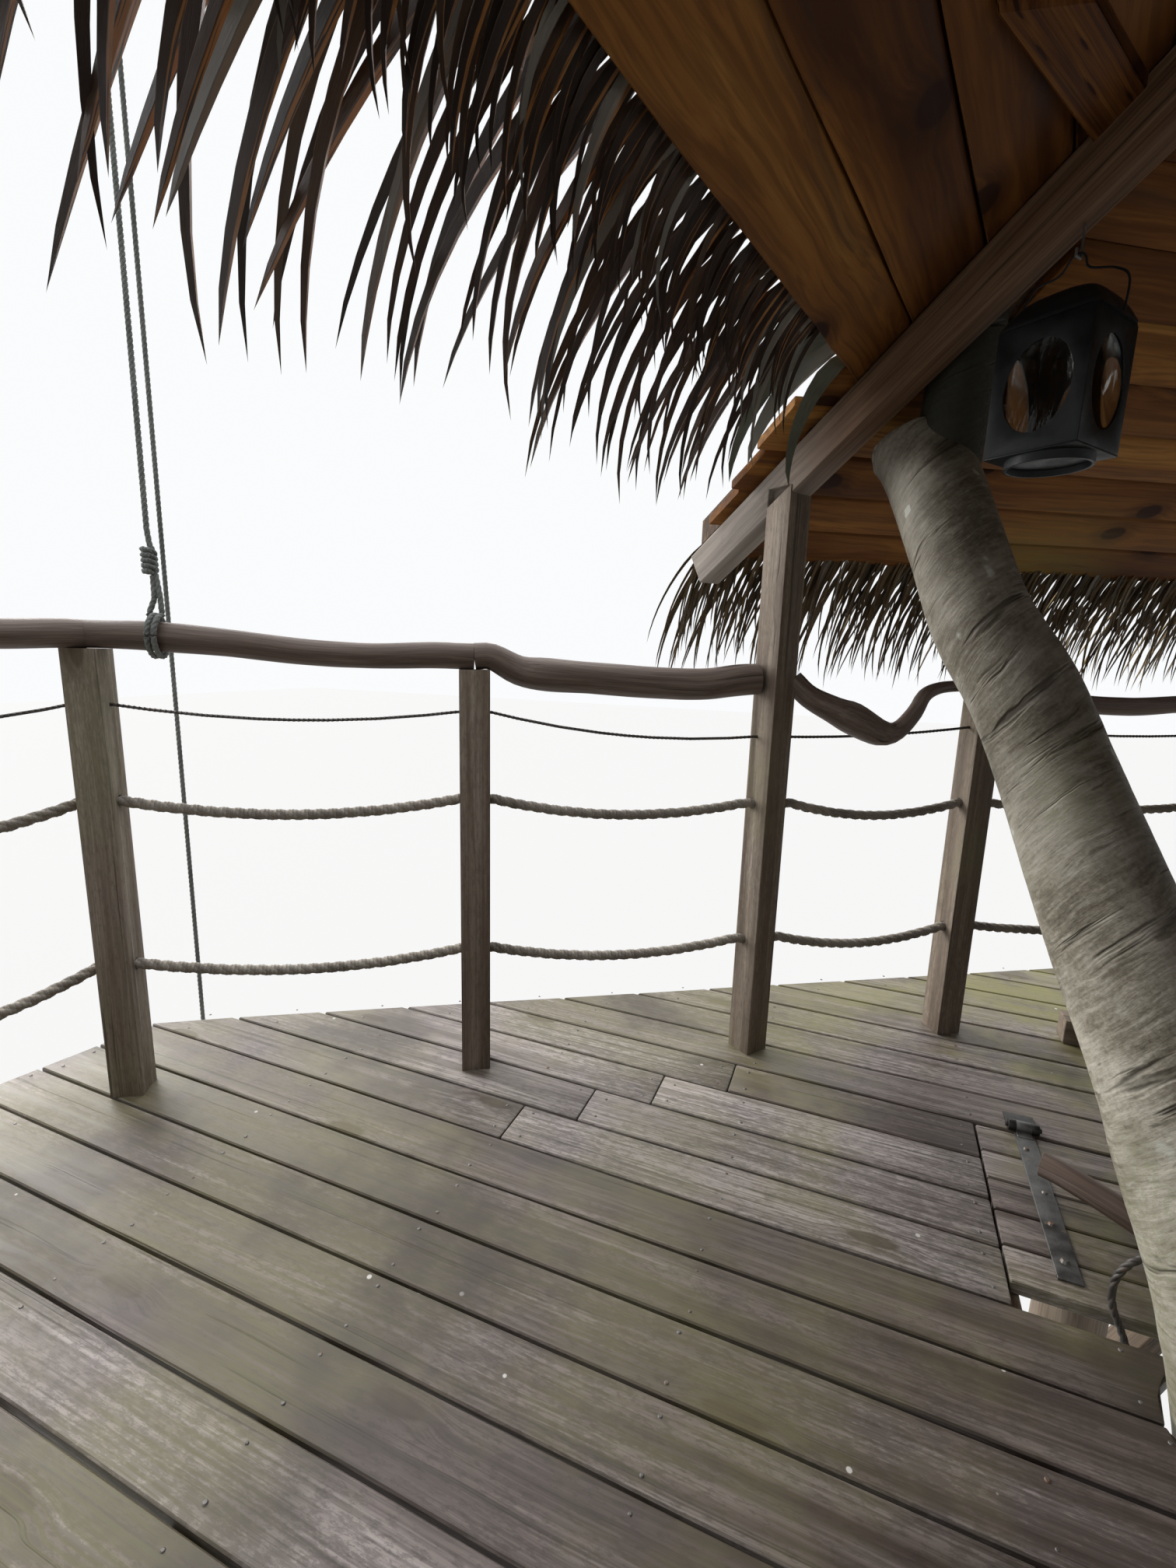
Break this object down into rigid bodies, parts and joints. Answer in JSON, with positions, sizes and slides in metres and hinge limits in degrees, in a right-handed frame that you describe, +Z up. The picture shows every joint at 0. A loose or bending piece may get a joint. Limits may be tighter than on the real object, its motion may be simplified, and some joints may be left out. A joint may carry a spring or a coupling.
{
  "type": "tree house roofed terrace",
  "caption": "Roofed terrace of a tree house on log legs: boarded deck with a hatch beside the leaning trunk, branch and rope railing, and an eight-sided palm thatch roof.",
  "frame": {"origin": "on the ground at the foot of the middle leg, under the middle of the roof", "axes": "+Z up, +X along the deck boards, +Y from the far rail towards the middle of the terrace"},
  "size_m": [8.0257, 7.513, 7.1525],
  "materials": {
    "bark": "smooth grey bark with fine cross creases, algae and pale patches",
    "log_wood": "round weathered logs",
    "frame_wood": "sawn timber, damp and greying",
    "deck_wood": "weathered grey-brown boards with nails and green algae",
    "post_wood": "sawn posts, greyed",
    "rafter_wood": "dark brown sawn timber, grey at the low end",
    "ceiling_wood": "warm brown boards with knots",
    "branch_wood": "crooked debarked branches, dark brown, half gloss",
    "thatch": "dry palm leaves, brown and orange",
    "rope": "laid hemp rope, greyed",
    "steel_cable": "stranded steel cable, dull",
    "iron": "strap iron, dull with worn edges",
    "black_iron": "black sheet metal, half matt",
    "lantern_pane": "clear glass"
  },
  "bodies": {
    "house": {"trunk": "bark", "hoist_limb": "bark", "support_legs": "log_wood", "main_beams": "frame_wood", "knee_braces": "frame_wood", "joists": "frame_wood", "hatch_trimmers": "frame_wood", "deck_far": "deck_wood", "deck_near": "deck_wood", "deck_left": "deck_wood", "deck_right": "deck_wood", "hinge_leaves": "iron", "hinge_pins": "iron", "roof_posts": "post_wood", "hip_rafters": "rafter_wood", "roof_hub": "rafter_wood", "ceiling_left": "ceiling_wood", "ceiling_far": "ceiling_wood", "ceiling_rest": "ceiling_wood", "thatch_left": "thatch", "thatch_far": "thatch", "thatch_rest": "thatch", "thatch_cap": "thatch", "leaf_fringe": "thatch", "rail_posts": "post_wood", "handrail_corner": "branch_wood", "handrail_left": "branch_wood", "handrail_middle": "branch_wood", "handrail_crook": "branch_wood", "handrail_right": "branch_wood", "handrail_rest": "branch_wood", "upper_rope": "rope", "lower_rope": "rope", "rail_cable": "steel_cable", "lantern_hook": "iron", "hoist_line": "rope", "hoist_tail": "rope", "wire_rope_loop": "steel_cable", "tie_block": "post_wood"},
    "hatch": {"hatch_lid": "deck_wood", "hatch_cleats": "frame_wood", "hatch_straps": "iron", "hatch_grip": "branch_wood"},
    "lantern": {"lantern_sides": "black_iron", "lantern_glass": "lantern_pane", "lantern_top": "black_iron", "lantern_base": "black_iron", "lantern_bail": "black_iron"}
  },
  "joints": [
    {"name": "hatch_hinge", "type": "hinge", "parent": "house", "child": "hatch", "pos_m": [1.1135, -1.348, 3.6145], "axis": [1, 0, 0], "range_deg": [0, 100]},
    {"name": "lantern_swing", "type": "hinge", "parent": "house", "child": "lantern", "pos_m": [1.51018, -1.0772, 5.53195], "axis": [0.5807, 0.8141, 0], "range_deg": [-12, 12]}
  ]
}
